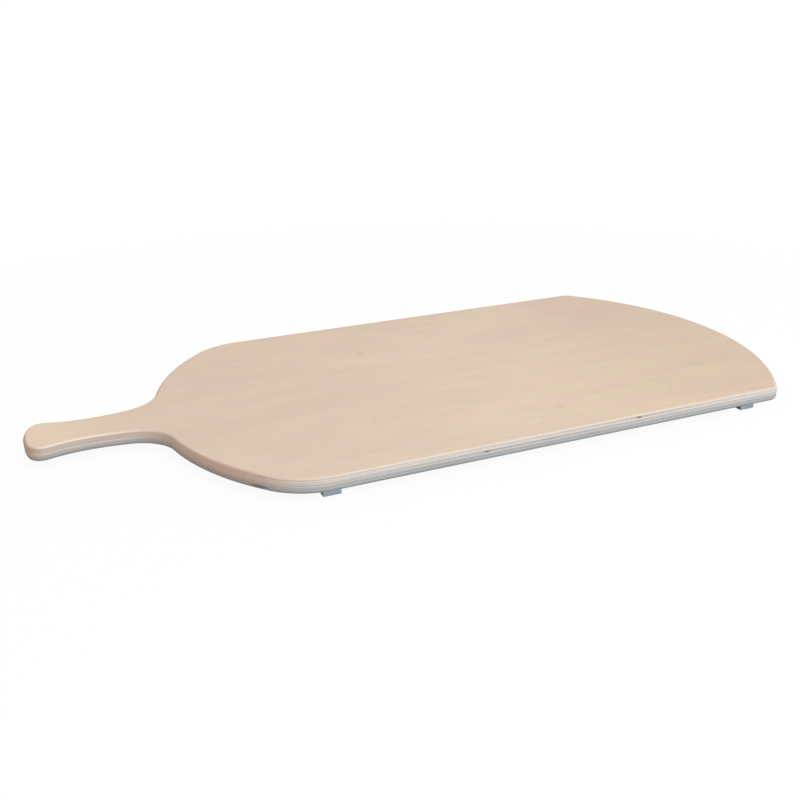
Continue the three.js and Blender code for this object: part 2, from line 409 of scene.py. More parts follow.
def ramp(tree, value, start, end):
    """0 at the start and 1 at the end, smooth between."""
    feeds = {"Value": value, "From Min": start, "From Max": end}
    return place(tree, "ShaderNodeMapRange", feeds, interpolation_type="SMOOTHSTEP").outputs[0]


def shaded(tree, colour, patterns, swings):
    """A colour made lighter and darker by patterns, each as far as its swing."""
    level = 1
    for title, swing in swings.items():
        centred = maths(tree, "SUBTRACT", patterns[title], 0.5)
        level = maths(tree, "MULTIPLY_ADD", centred, swing, level)
    return place(tree, "ShaderNodeVectorMath", {0: colour, 3: level}, operation="SCALE").outputs[0]


# %% Helpers for a finish
def new_finish(name):
    """A material with its tree, its shader and its object coordinates."""
    material = bpy.data.materials.new(name)
    material.use_nodes = True
    tree = material.node_tree
    here = place(tree, "ShaderNodeTexCoord").outputs["Object"]
    return material, tree, tree.nodes["Principled BSDF"], here


def painted(tree, shader, colour, roughness):
    """Feed a shader its colour and its roughness."""
    tree.links.new(colour, shader.inputs["Base Color"])
    tree.links.new(roughness, shader.inputs["Roughness"])


def stored(tree, name):
    """A value that a tree left on the piece."""
    return place(tree, "ShaderNodeAttribute", attribute_name=name).outputs["Fac"]


RELIEF_STRENGTH = 0.25


def roughened(tree, shader, height, depth, over=None):
    """Give a surface a fine relief, as deep as the given depth, over a coarser one if there is one."""
    relief = {"Strength": RELIEF_STRENGTH, "Distance": depth, "Height": height}
    if over:
        relief["Normal"] = over
    tree.links.new(place(tree, "ShaderNodeBump", relief).outputs[0], shader.inputs["Normal"])


# %% [markdown]
# ## Marks in the wood
# No two boards are alike, and it is their marks that say so: pin knots, shallow dents and small
# blisters on the face, warmer and paler parts of it, voids and dark dashes in the core, and the burns
# that a router leaves where it slows down, at the shoulder and the tip. The shoulders and the tip are
# also browner, and the handle's side is stained where it is held. Painted shade darkens the face over
# its ends and far side, the inside of the voids and the lower half of the edge, and a painted highlight
# runs along the handle's ridge.
# Marks could be painted on an image, but that needs an unwrapped surface and shows its seams. Here a
# mark is a soft ellipsoid in the wood, so it runs on over the rounding as a real one does.

# %% A mark as a soft ellipsoid
board_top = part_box("face_veneer")[1].z
board_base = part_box("back_veneer")[0].z
board_middle = (board_base + board_top) / 2
near_side = -half_width
MARK_FALLOFF = (1.0, 0.3)


def middle_height(node):
    """The height of the middle of a solid."""
    low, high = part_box(node)
    return (low.z + high.z) / 2


def millimetres(*sizes):
    """Sizes given in millimetres, in metres."""
    return tuple(size * MILLIMETRE for size in sizes)


def below_face(depth):
    """The height that lies this many millimetres below the face."""
    return board_top - depth * MILLIMETRE


def spots(tree, here, marks):
    """How strongly the marks show at each place."""
    total = 0
    for centre, half_sizes, strength in marks:
        offset = place(tree, "ShaderNodeVectorMath", {0: here, 1: centre}, operation="SUBTRACT")
        shares = {0: offset.outputs[0], 1: half_sizes}
        sized = place(tree, "ShaderNodeVectorMath", shares, operation="DIVIDE").outputs[0]
        far = place(tree, "ShaderNodeVectorMath", {0: sized}, operation="LENGTH").outputs["Value"]
        mark = maths(tree, "MULTIPLY", ramp(tree, far, *MARK_FALLOFF), strength)
        total = maths(tree, "MAXIMUM", total, mark)
    return total


# %% Place the marks on the face
# Each mark has a centre, half sizes along X, Y and Z, and a strength.
FACE_MARK_DEPTH = 30


def on_face(x, y, length, breadth, strength):
    """A mark on the face, with its half length and half breadth in millimetres."""
    return (x, y, board_top), millimetres(length, breadth, FACE_MARK_DEPTH), strength


pin_knots = [
    on_face(-0.0238, 0.0745, 5.4, 4.6, 0.20),
    on_face(0.1078, -0.0330, 3.6, 3.4, 0.12),
    on_face(0.2115, -0.0210, 2.9, 2.6, 0.10),
    on_face(0.2720, -0.0690, 4.6, 4.4, 0.07),
    on_face(-0.0660, -0.0900, 4.0, 14.0, 0.05),
]
dents = [on_face(0.0800, -0.1250, 5.0, 5.0, 0.6), on_face(0.0500, -0.1475, 6.5, 6.0, 0.6)]
blisters = [on_face(0.1800, -0.1270, 5.5, 6.0, 0.5), on_face(0.1925, -0.1290, 5.0, 5.5, 0.4)]
# Painted shade: broad patches that darken the face over both ends and the far side
face_shade_patches = [
    on_face(0.330, 0.020, 240, 400, 1.0),
    on_face(-0.160, 0.060, 160, 300, 0.4),
    on_face(0.050, 0.190, 350, 100, 0.35),
]
honeyed = [on_face(0.300, -0.150, 380, 250, 1.0)]
paler = [on_face(-0.3375, 0, 70, 200, 1.0)]
print("marks on the face:", len(pin_knots), "pin knots,", len(dents), "dents,", len(blisters), "blisters")

# %% Place the marks in the core
VOID_HALF_SIZES = millimetres(1.7, 1.4, 0.44)
VOID_SHADE = millimetres(4.2, 5.0, 1.3)
VOID_DARKNESS = 0.80
VOID_X = {"core_ply_3": -0.0074, "core_ply_1": 0.1286}
void_centres = {node: (x, near_side, middle_height(node)) for node, x in VOID_X.items()}
# These marks paint shade inside the hollows of the voids
voids = [(centre, VOID_SHADE, VOID_DARKNESS) for centre in void_centres.values()]
dark_dashes = [
    ((0.046, near_side, middle_height("core_ply_3")), millimetres(14, 2, 0.7), 0.35),
    ((0.085, near_side, middle_height("core_ply_5")), millimetres(10, 2, 0.7), 0.35),
]
print("marks in the core:", len(voids), "voids,", len(dark_dashes), "dashes")

# %% Place the burns, the browning and what hands leave
SHOULDER_X = -0.205
SHOULDER_Y = 0.095
HANDLE_X = -0.290
router_burns = [
    ((-0.1758, -0.1447, below_face(8.8)), millimetres(11, 12, 1.6), 0.8),
    ((-0.1746, -0.1458, below_face(1.2)), millimetres(8, 9, 1.0), 0.18),
    ((tip_x, 0, board_middle), millimetres(4, 24, 8), 0.6),
]
# Browner places at the tip and the shoulders; the upper part of each is darker still
browned_tip = [((tip_x - 1 * MILLIMETRE, -0.012, below_face(3)), millimetres(22, 50, 18), 1.0)]
browned = list(browned_tip)
for side in (-1, 1):
    browned.append(((SHOULDER_X, side * SHOULDER_Y, board_middle), millimetres(92, 112, 30), 1.0))
    browned.append(((SHOULDER_X, side * SHOULDER_Y, below_face(0.5)), millimetres(115, 135, 7), 1.0))
# Where the handle's side is stained and where a highlight is painted along its ridge
grip_stain_and_highlight = [
    ((HANDLE_X, 0, below_face(2.5)), millimetres(85, 85, 4.5), 1.0),
    ((HANDLE_X, 0, board_middle), millimetres(85, 50, 30), 0.35),
]
# A band on the handle that the painted shade of the lower edge leaves out
shade_free_band = [((HANDLE_X, 0, below_face(5)), millimetres(85, 85, 4), 0.9)]
print("marks on the edge:", len(router_burns), "burns,", len(browned), "browned places")

# %% [markdown]
# ## The face and the edge of the birch
# The face mixes two close tints, straw and rose, and swings them a little lighter and darker with the
# grain; its warm and pale parts and a painted shade over its ends and far side tone it over. The edge
# starts from end grain, or from side grain, which is darker on the two outer veneers, and turns browner
# at the shoulders and the tip. A highlight is painted along the ridge of the handle, short of the
# browned tip; its side is stained where it is held, mostly in the upper half, and a band there is left
# out of the painted shade. Elsewhere painted shade turns the lower half of the edge greyer all round.
# Both colours are worked out everywhere, and the stored edge value fades one into the other over the
# start of the rounding, so no line has to be drawn by hand.

# %% The patterns of the grain
ALONG_BOARD = 0.0
ACROSS_BOARD = QUARTER_TURN
# Cells to the metre across the grain, how much slower a pattern changes along it, and its detail
GRAIN_PATTERNS = {
    "fibres": (3000, 0.03, 3),
    "streaks": (260, 0.05, 3),
    "figure": (15, 0.22, 2),
    "blotches": (26, 0.5, 3),
    "tints": (60, 0.6, 2),
    "flecks": (700, 0.14, 1),
}
FIGURE_BANDS = 34


def grain_pattern(tree, along_grain, pattern):
    """One pattern, drawn out along the grain."""
    across, slower, detail = pattern
    return noise(tree, stretched(tree, along_grain, (slower, 1, 1)), across, detail)


def grain_patterns(tree, here, grain_turn):
    """All patterns of the grain, with the grain turned to run along or across the board."""
    turned = place(tree, "ShaderNodeMapping", {"Vector": here, "Rotation": (0, 0, grain_turn)}).outputs[0]
    patterns = {title: grain_pattern(tree, turned, pattern) for title, pattern in GRAIN_PATTERNS.items()}
    patterns["bands"] = maths(tree, "SINE", maths(tree, "MULTIPLY", patterns["figure"], FIGURE_BANDS))
    return patterns


# %% The colour of the face
STRAW_BIRCH = (0.740, 0.589, 0.452, 1)
ROSY_BIRCH = (0.742, 0.573, 0.461, 1)
# The tint of the painted shade on the face
FACE_SHADE_TINT = (0.930, 0.930, 0.930, 1)
HONEY = (1.000, 0.988, 0.945, 1)
PALE_STRAW = (1.050, 1.075, 1.020, 1)
FLECK_BROWN = (0.380, 0.250, 0.170, 1)
# How far each pattern swings the colour
FACE_SWINGS = {"fibres": 0.09, "streaks": 0.09, "bands": 0.014, "blotches": 0.11}
# Where a pattern starts to count, and where it counts in full
ROSY_TINTS = (0.35, 0.65)
FLECK_LEVELS = (0.72, 0.80)
FLECK_STRENGTH = 0.30


def face_colour(tree, here, patterns):
    """The sanded face: straw and rosy tints, a painted shade over the ends and the far side, warmer and
    paler parts, fibres, bands and flecks.
    """
    colour = blend(tree, ramp(tree, patterns["tints"], *ROSY_TINTS), STRAW_BIRCH, ROSY_BIRCH)
    colour = blend(tree, spots(tree, here, face_shade_patches), colour, FACE_SHADE_TINT, "MULTIPLY")
    colour = blend(tree, spots(tree, here, honeyed), colour, HONEY, "MULTIPLY")
    colour = blend(tree, spots(tree, here, paler), colour, PALE_STRAW, "MULTIPLY")
    colour = shaded(tree, colour, patterns, FACE_SWINGS)
    flecks = maths(tree, "MULTIPLY", ramp(tree, patterns["flecks"], *FLECK_LEVELS), FLECK_STRENGTH)
    return blend(tree, flecks, colour, FLECK_BROWN)


# %% The colour of the edge
SIDE_GRAIN = (0.711, 0.635, 0.584, 1)
OUTER_SIDE_GRAIN = (0.655, 0.580, 0.520, 1)
END_GRAIN = (0.620, 0.550, 0.495, 1)
BROWNED_TINT = (0.675, 0.483, 0.384, 1)
DARKER_BROWNED = (0.790, 0.780, 0.780, 1)
GRIP_STAIN = (0.845, 0.740, 0.668, 1)
# The colour of the highlight painted along the handle's ridge
PAINTED_RIDGE_HIGHLIGHT = (0.930, 0.765, 0.635, 1)
# The grey, cool tint of the painted shade on the lower edge
PAINTED_SHADE_GREY = (0.580, 0.660, 0.720, 1)
PLY_TONE_SCALE = (22, 22, 900)
CHECK_SCALE = (900, 900, 260)
EDGE_SWINGS = {"fibres": 0.12, "streaks": 0.10, "ply_tone": 0.22, "open_checks": -0.14}
# Where a pattern, a stored value or a height starts to count, and where it counts in full
CUT_LEVELS = (0.05, 0.95)
CHECK_LEVELS = (0.58, 0.70)
HELD_EDGE_LEVELS = (0.25, 0.75)
DARKER_BROWNED_HEIGHTS = (below_face(4.2), below_face(1.2))
RIDGE_HIGHLIGHT_HEIGHTS = (below_face(1.7), below_face(0.7))
PAINTED_SHADE_HEIGHTS = (below_face(2.5), below_face(9.5))


def edge_colour(tree, here, patterns, edge, side_grain, browning):
    """The routed edge: side or end grain, browned in places, with a highlight painted on the handle's
    ridge, stained where it is held, and turned greyer lower down by painted shade.
    """
    cut = ramp(tree, stored(tree, "end_grain"), *CUT_LEVELS)
    checks = ramp(tree, noise(tree, stretched(tree, here, CHECK_SCALE), 1), *CHECK_LEVELS)
    ply_tone = noise(tree, stretched(tree, here, PLY_TONE_SCALE), 1)
    patterns = {**patterns, "ply_tone": ply_tone, "open_checks": maths(tree, "MULTIPLY", checks, cut)}
    colour = blend(tree, browning, blend(tree, cut, side_grain, END_GRAIN), BROWNED_TINT)
    colour = shaded(tree, colour, patterns, EDGE_SWINGS)
    height = height_of(tree, here)
    # Darker still towards the top of the browned places
    darker_browned = maths(tree, "MULTIPLY", browning, ramp(tree, height, *DARKER_BROWNED_HEIGHTS))
    colour = blend(tree, darker_browned, colour, DARKER_BROWNED, "MULTIPLY")
    stain_and_highlight = spots(tree, here, grip_stain_and_highlight)
    # A highlight painted along the handle's ridge, short of the browned tip
    ridge_highlight = maths(tree, "MULTIPLY", stain_and_highlight, ramp(tree, height, *RIDGE_HIGHLIGHT_HEIGHTS))
    short_of_tip = maths(tree, "SUBTRACT", 1, spots(tree, here, browned_tip))
    colour = blend(tree, maths(tree, "MULTIPLY", ridge_highlight, short_of_tip), colour, PAINTED_RIDGE_HIGHLIGHT)
    held = maths(tree, "MULTIPLY", stain_and_highlight, ramp(tree, edge, *HELD_EDGE_LEVELS))
    colour = blend(tree, held, colour, GRIP_STAIN, "MULTIPLY")
    # Painted shade: the lower half of the edge turns greyer and cooler, except in the band on the handle
    outside_shade_free_band = maths(tree, "SUBTRACT", 1, spots(tree, here, shade_free_band))
    lower_painted_shade = maths(tree, "MULTIPLY", ramp(tree, height, *PAINTED_SHADE_HEIGHTS), outside_shade_free_band)
    return blend(tree, lower_painted_shade, colour, PAINTED_SHADE_GREY, "MULTIPLY")


# %% The birch finishes
KNOT_BROWN = (0.300, 0.200, 0.140, 1)
BURN_BROWN = (0.140, 0.125, 0.095, 1)
EDGE_LEVELS = (0.0, 0.27)
BROWNED_EDGE_LEVELS = (0.0, 0.06)
BIRCH_ROUGHNESS = 0.66
FIBRE_ROUGHNESS = 0.12
BIRCH_SPECULAR = 0.35
BIRCH_RELIEF = 0.03 * MILLIMETRE
DENT_RELIEF = 0.6 * MILLIMETRE


def birch(name, grain_turn, side_grain, marks):
    """Solid birch with its grain turned to run along or across the board."""
    material, tree, shader, here = new_finish(name)
    patterns = grain_patterns(tree, here, grain_turn)
    edge = stored(tree, "edge")
    browning = spots(tree, here, browned)
    browned_edge = maths(tree, "MULTIPLY", browning, ramp(tree, edge, *BROWNED_EDGE_LEVELS))
    off_the_face = maths(tree, "MAXIMUM", ramp(tree, edge, *EDGE_LEVELS), browned_edge)
    side = edge_colour(tree, here, patterns, edge, side_grain, browning)
    colour = blend(tree, off_the_face, face_colour(tree, here, patterns), side)
    colour = blend(tree, spots(tree, here, marks), colour, KNOT_BROWN)
    colour = blend(tree, spots(tree, here, router_burns), colour, BURN_BROWN)
    roughness = maths(tree, "MULTIPLY_ADD", patterns["fibres"], FIBRE_ROUGHNESS, BIRCH_ROUGHNESS)
    painted(tree, shader, colour, roughness)
    shader.inputs["Specular IOR Level"].default_value = BIRCH_SPECULAR
    grain_relief = maths(tree, "ADD", patterns["fibres"], patterns["streaks"])
    knocks = maths(tree, "SUBTRACT", spots(tree, here, blisters), spots(tree, here, dents))
    relief = {"Strength": 1.0, "Distance": DENT_RELIEF, "Height": knocks}
    knocked = place(tree, "ShaderNodeBump", relief).outputs[0]
    roughened(tree, shader, grain_relief, BIRCH_RELIEF, knocked)
    return material


birch_finishes = {
    "birch_face": birch("sanded_birch_face", ALONG_BOARD, OUTER_SIDE_GRAIN, pin_knots),
    "birch_long_ply": birch("birch_along", ALONG_BOARD, SIDE_GRAIN, []),
    "birch_cross_ply": birch("birch_across", ACROSS_BOARD, SIDE_GRAIN, voids + dark_dashes),
}
print("finishes:", ", ".join(finish.name for finish in birch_finishes.values()))

# %% [markdown]
# ## The plies
# Nine sheets make the panel, the face and the back with their grain along the board and every second
# one across it. Each node of the frame gives its own height, so a ply here fills exactly the slice that
# its solid fills. One block with stripes painted on it would look alike from afar, but a sheet of its
# own can be patched, drilled and finished by itself. The face and the back run a little way in over the
# flat, so that the rounding eases into it without a hard line.

# %% Make the plies
EDGE_RADIUS = 0.003
FLAT_MARGIN = 1 * MILLIMETRE
PLY_SECTION_POINTS = 9
board_thickness = board_top - board_base
half_straight = board_thickness / 2 - EDGE_RADIUS
LONG_GRAIN = (1, 0, 0)
CROSS_GRAIN = (0, 1, 0)
grain_of = {"birch_face": LONG_GRAIN, "birch_long_ply": LONG_GRAIN, "birch_cross_ply": CROSS_GRAIN}


def edge_travel(height):
    """How far along the edge from its middle the panel has this height."""
    lift = height - board_base - board_thickness / 2
    over = min(max((abs(lift) - half_straight) / EDGE_RADIUS, 0), 1)
    travel = min(abs(lift), half_straight) + EDGE_RADIUS * math.asin(over)
    if over == 1:
        travel += FLAT_MARGIN
    return math.copysign(travel, lift)


def panel_slice(name, low, high, section_points, material, grain):
    """The part of the panel between two heights."""
    sizes = {
        "Base height": board_base,
        "Thickness": board_thickness,
        "Edge radius": EDGE_RADIUS,
        "Upper end": edge_travel(high),
        "Lower end": edge_travel(low),
        "Section points": section_points,
        "Grain": grain,
        "Material": material,
    }
    return grown(name, board_sketch, shaped_sheet, sizes)


def tell(piece):
    """Print what a piece came out as."""
    mesh = piece.data
    mesh.calc_loop_triangles()
    uses = {}
    for polygon in mesh.polygons:
        for key in polygon.edge_keys:
            uses[key] = uses.get(key, 0) + 1
    closed = all(count == 2 for count in uses.values())
    print(piece.name, len(mesh.loop_triangles), "triangles,", "closed" if closed else "open")


plies = {}
for node, slot in slot_of.items():
    if slot in birch_finishes:
        low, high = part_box(node)
        finish, grain = birch_finishes[slot], grain_of[slot]
        plies[node] = panel_slice(node + "_sheet", low.z, high.z, PLY_SECTION_POINTS, finish, grain)
        tell(plies[node])

# %% [markdown]
# ## Voids in the core
# Core veneers are patched from narrower strips, and where two strips don't quite meet, the routed edge
# shows a small dark pocket. A dark spot in the finish would stay flat in raking light, so each pocket
# is cut out of its ply as a lens-shaped hollow. The marks in the finish above also paint shade into
# its inside.

# %% Cut the voids
POCKET_SUBDIVISIONS = 3


def cut_from(piece, cutter):
    """Cut one object's shape out of a piece; the walls of the cut take the piece's own finish."""
    cutter.data.materials.clear()
    cutter.data.materials.append(piece.data.materials[0])
    cut = piece.modifiers.new("cut", "BOOLEAN")
    cut.operation = "DIFFERENCE"
    cut.solver = "EXACT"
    cut.object = cutter
    return settled(piece)


for node, centre in void_centres.items():
    lens = bmesh.new()
    seat = Matrix.Translation(centre) @ Matrix.Diagonal((*VOID_HALF_SIZES, 1))
    bmesh.ops.create_icosphere(lens, subdivisions=POCKET_SUBDIVISIONS, radius=1, matrix=seat)
    pocket = shown("pocket", bpy.data.meshes.new("pocket"))
    lens.to_mesh(pocket.data)
    lens.free()
    cut_from(plies[node], pocket)
    bpy.data.objects.remove(pocket)
    tell(plies[node])

# %% [markdown]
# ## The glue lines
# Between the plies the hot-pressed glue sets as a film a tenth of a millimetre thick, dark brown, and
# it draws the fine lines that make plywood look like plywood from close by. The solids leave that tenth
# open, and dark lines painted on the plies would leave it a slit. So a film for each gap is one more
# slice of the panel, a touch thinner than the gap, so that it never shares a face with a ply.

# %% Make the glue films
GLUE_BROWN = (0.165, 0.100, 0.065)
GLUE_CLEARANCE = 0.01 * MILLIMETRE
GLUE_SECTION_POINTS = 3
GLUE_PATCHES = 400
GLUE_SWINGS = {"patches": 0.6}
GLUE_ROUGHNESS = 0.45
PATCH_ROUGHNESS = 0.2


def glue_finish():
    """Set glue: dark brown, in darker and lighter patches."""
    material, tree, shader, here = new_finish("ply_glue")
    patches = noise(tree, here, GLUE_PATCHES)
    colour = shaded(tree, GLUE_BROWN, {"patches": patches}, GLUE_SWINGS)
    roughness = maths(tree, "MULTIPLY_ADD", patches, PATCH_ROUGHNESS, GLUE_ROUGHNESS)
    painted(tree, shader, colour, roughness)
    return material


glue = glue_finish()
levels = sorted(plies, key=middle_height)
glue_films = []
for i, (lower, upper) in enumerate(zip(levels, levels[1:]), start=1):
    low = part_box(lower)[1].z + GLUE_CLEARANCE
    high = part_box(upper)[0].z - GLUE_CLEARANCE
    glue_films.append(panel_slice(f"glue_line_{i}", low, high, GLUE_SECTION_POINTS, glue, LONG_GRAIN))
print("glue:", len(glue_films), "films")

# %% [markdown]
# ## The cross bars
# The board stands on two lengths of flat aluminium bar, which keep the panel from warping and leave
# room for fingers under its edge. Drawn bar has faint lines along it, and its sawn ends are rougher and
# duller. A block with a bevel would have the shape, but the tree of the plies can make it too, from a
# rectangle with rounded corners, with its edges just broken, and it stores more. With the drawing
# direction given as the grain, the stored end-grain value now tells the finish which faces were sawn.

# %% The finish of the bars
# The drawn faces' darker grey is partly their own mill finish and partly painted shade for the bars' sides,
# which sit in the board's shadow
MILL_GREY_AND_SHADE = (0.300, 0.330, 0.360)
SAWN_GREY = (0.415, 0.467, 0.518)
DRAWN_LINES = (1600, 8, 1600)
SAW_MARKS = (300, 300, 3000)
DRAWN_SWINGS = {"lines": 0.16}
SAWN_SWINGS = {"marks": 0.22}
SAWN_LEVELS = (0.6, 0.9)
DRAWN_ROUGHNESS = 0.26
LINE_ROUGHNESS = 0.12
SAWN_ROUGHNESS = 0.24
BAR_RELIEF = 0.02 * MILLIMETRE


def aluminium():
    """Bar stock: lines along the drawn faces, saw marks on the ends."""
    material, tree, shader, here = new_finish("drawn_aluminium")
    lines = noise(tree, stretched(tree, here, DRAWN_LINES), 1)
    marks = noise(tree, stretched(tree, here, SAW_MARKS), 1)
    sawn = ramp(tree, stored(tree, "end_grain"), *SAWN_LEVELS)
    patterns = {"lines": lines, "marks": marks}
    # Drawn faces: mill grey with painted shade; sawn ends: lighter grey
    drawn_colour_and_shade = shaded(tree, MILL_GREY_AND_SHADE, patterns, DRAWN_SWINGS)
    sawn_colour = shaded(tree, SAWN_GREY, patterns, SAWN_SWINGS)
    colour = blend(tree, sawn, drawn_colour_and_shade, sawn_colour)
    drawn_roughness = maths(tree, "MULTIPLY_ADD", lines, LINE_ROUGHNESS, DRAWN_ROUGHNESS)
    roughness = maths(tree, "MULTIPLY_ADD", sawn, SAWN_ROUGHNESS, drawn_roughness)
    painted(tree, shader, colour, roughness)
    shader.inputs["Metallic"].default_value = 1.0
    relief = place(tree, "ShaderNodeMix", {0: sawn, 2: lines, 3: marks}).outputs[0]
    roughened(tree, shader, relief, BAR_RELIEF)
    return material


bar_finish = aluminium()
print("finish:", bar_finish.name)

# %% Make the bars
BAR_CORNER_RADIUS = 0.6 * MILLIMETRE
BAR_EDGE_BREAK = 0.4 * MILLIMETRE
BAR_SECTION_POINTS = 25


def bar_outline(low, high):
    """A rectangle with rounded corners, counter-clockwise."""
    points = []
    insets = Vector((BAR_CORNER_RADIUS, BAR_CORNER_RADIUS))
    left, near = low.xy + insets
    right, far = high.xy - insets
    for i, corner in enumerate([(right, far), (left, far), (left, near), (right, near)]):
        start = i * QUARTER_TURN
        points += arc(Vector(corner), BAR_CORNER_RADIUS, start, start + QUARTER_TURN)
    return points


bars = {}
for node in [node for node, slot in slot_of.items() if slot == "bar_aluminium"]:
    low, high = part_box(node)
    bar_height = high.z - low.z
    round_the_edge = bar_height / 2 - BAR_EDGE_BREAK + BAR_EDGE_BREAK * QUARTER_TURN
    sizes = {
        "Base height": low.z,
        "Thickness": bar_height,
        "Edge radius": BAR_EDGE_BREAK,
        "Upper end": round_the_edge + BAR_EDGE_BREAK,
        "Lower end": -round_the_edge - BAR_EDGE_BREAK,
        "Section points": BAR_SECTION_POINTS,
        "Grain": CROSS_GRAIN,
        "Material": bar_finish,
    }
    sketch = loop_sketch(node + "_outline", bar_outline(low, high))
    bars[node] = grown(node + "_stock", sketch, shaped_sheet, sizes)
    tell(bars[node])

# %% [markdown]
# ## The screws
# Three countersunk screws hold each bar, driven from below into the panel. A screw is a turned shape,
# and a thread is a groove that climbs one pitch a turn. The Screw modifier winds a profile at one
# radius, which suits a spring more than a thread between a head and a point, so the tree bends a flat
# grid round an axis: across the grid runs the angle, and up it runs the way from the middle of the
# head, out to its rim and along the shank to the point. The groove's depth depends on height and angle
# together, which makes it a true helix. The cross recess is cut from the head, the screw is copied to
# six places, and each copy is turned by a seeded random angle, as screws are in fact.

# %% The surface of a screw
THREAD_FLANK = 0.25
FULL_TURN = 2 * math.pi


def screw_radius(tree, given, height, angle):
    """How far the surface is from the axis, at a height above the head's face and an angle round it."""
    head, shank = given["Head radius"], given["Shank radius"]
    cone = maths(tree, "SUBTRACT", maths(tree, "ADD", head, given["Rim"]), height)
    body = maths(tree, "MAXIMUM", maths(tree, "MINIMUM", head, cone), shank)
    to_tip = maths(tree, "DIVIDE", maths(tree, "SUBTRACT", given["Length"], height), given["Point"])
    taper = maths(tree, "MINIMUM", to_tip, 1)
    bare = maths(tree, "MINIMUM", body, maths(tree, "MULTIPLY", to_tip, shank))
    climb = maths(tree, "DIVIDE", height, given["Pitch"])
    turns = maths(tree, "SUBTRACT", climb, maths(tree, "DIVIDE", angle, FULL_TURN))
    # The crest is at every whole turn, and the nearest one is at most half a turn away.
    from_crest = maths(tree, "DIVIDE", maths(tree, "PINGPONG", turns, 0.5), THREAD_FLANK)
    groove = maths(tree, "MINIMUM", from_crest, 1)
    ends = {"Value": cone, "From Min": 0.0, "From Max": maths(tree, "MULTIPLY", given["Pitch"], -1)}
    threaded = place(tree, "ShaderNodeMapRange", ends).outputs[0]
    depth = maths(tree, "MULTIPLY", given["Thread depth"], maths(tree, "MULTIPLY", threaded, taper))
    return maths(tree, "SUBTRACT", bare, maths(tree, "MULTIPLY", depth, groove))


def turned_screw(tree, given):
    """A grid bent into the screw's surface, with its seam and poles sewn up."""
    counts = {"Size X": 1.0, "Size Y": 1.0, "Vertices X": given["Sides"], "Vertices Y": given["Rings"]}
    grid = place(tree, "GeometryNodeMeshGrid", counts).outputs[0]
    position = place(tree, "GeometryNodeInputPosition").outputs[0]
    across = place(tree, "ShaderNodeSeparateXYZ", {"Vector": position}).outputs
    # The grid is one unit wide and centred, so adding a half makes it run from 0 to 1.
    angle = maths(tree, "MULTIPLY", maths(tree, "ADD", across["X"], 0.5), FULL_TURN)
    whole_way = maths(tree, "ADD", given["Head radius"], given["Length"])
    way = maths(tree, "MULTIPLY", maths(tree, "ADD", across["Y"], 0.5), whole_way)
    height = maths(tree, "MAXIMUM", maths(tree, "SUBTRACT", way, given["Head radius"]), 0)
    radius = maths(tree, "MINIMUM", way, screw_radius(tree, given, height, angle))
    x = maths(tree, "MULTIPLY", radius, maths(tree, "COSINE", angle))
    y = maths(tree, "MULTIPLY", radius, maths(tree, "SINE", angle))
    spot = place(tree, "ShaderNodeCombineXYZ", {"X": x, "Y": y, "Z": height}).outputs[0]
    bent = place(tree, "GeometryNodeSetPosition", {"Geometry": grid, "Position": spot}).outputs[0]
    return place(tree, "GeometryNodeMergeByDistance", {"Geometry": bent, "Distance": SAME_POINT}).outputs[0]


# %% The tree for screws
RECESS_TAPER = 0.35
TURN_SEED = 7


def recess_wing(tree, given, length, width):
    """One wing of the cross recess, narrower at its bottom."""
    twice = maths(tree, "MULTIPLY", given["Recess depth"], 2)
    size = place(tree, "ShaderNodeCombineXYZ", {"X": length, "Y": width, "Z": twice}).outputs[0]
    block = place(tree, "GeometryNodeMeshCube", {"Size": size}).outputs[0]
    position = place(tree, "GeometryNodeInputPosition").outputs[0]
    height = height_of(tree, position)
    sunk = maths(tree, "DIVIDE", height, given["Recess depth"])
    narrowed = maths(tree, "MULTIPLY_ADD", sunk, -RECESS_TAPER, 1)
    scale = place(tree, "ShaderNodeCombineXYZ", {"X": narrowed, "Y": narrowed, "Z": 1}).outputs[0]
    spot = place(tree, "ShaderNodeVectorMath", {0: position, 1: scale}, operation="MULTIPLY").outputs[0]
    return place(tree, "GeometryNodeSetPosition", {"Geometry": block, "Position": spot}).outputs[0]


def screw_tree():
    """The tree that puts a screw on every point it is given."""
    lengths = ["Length", "Head radius", "Rim", "Shank radius", "Point", "Thread depth", "Pitch"]
    lengths += ["Recess span", "Recess slot", "Recess depth"]
    inputs = {
        "Geometry": "Geometry",
        "Sides": "Int",
        "Rings": "Int",
        "Recess": "Bool",
        "Material": "Material",
    }
    inputs.update({title: "Float" for title in lengths})
    tree, given, leave = new_tree("wood_screw", inputs)
    blank = turned_screw(tree, given)
    span, slot = given["Recess span"], given["Recess slot"]
    cut = {"operation": "DIFFERENCE", "solver": "EXACT"}
    driven = place(tree, "GeometryNodeMeshBoolean", {"Mesh 1": blank}, **cut)
    tree.links.new(recess_wing(tree, given, span, slot), driven.inputs["Mesh 2"])
    tree.links.new(recess_wing(tree, given, slot, span), driven.inputs["Mesh 2"])
    choice = {"Switch": given["Recess"], "False": blank, "True": driven.outputs["Mesh"]}
    screw = place(tree, "GeometryNodeSwitch", choice, input_type="GEOMETRY").outputs[0]
    turns = {0: (0, 0, 0), 1: (0, 0, FULL_TURN), "Seed": TURN_SEED}
    turn = place(tree, "FunctionNodeRandomValue", turns, data_type="FLOAT_VECTOR").outputs[0]
    copies = {"Points": given["Geometry"], "Instance": screw, "Rotation": turn}
    placed = place(tree, "GeometryNodeInstanceOnPoints", copies).outputs[0]
    close_tree(tree, leave, placed, given["Material"])
    return tree


wood_screw = screw_tree()
print("tree:", wood_screw.name, len(wood_screw.nodes), "nodes")

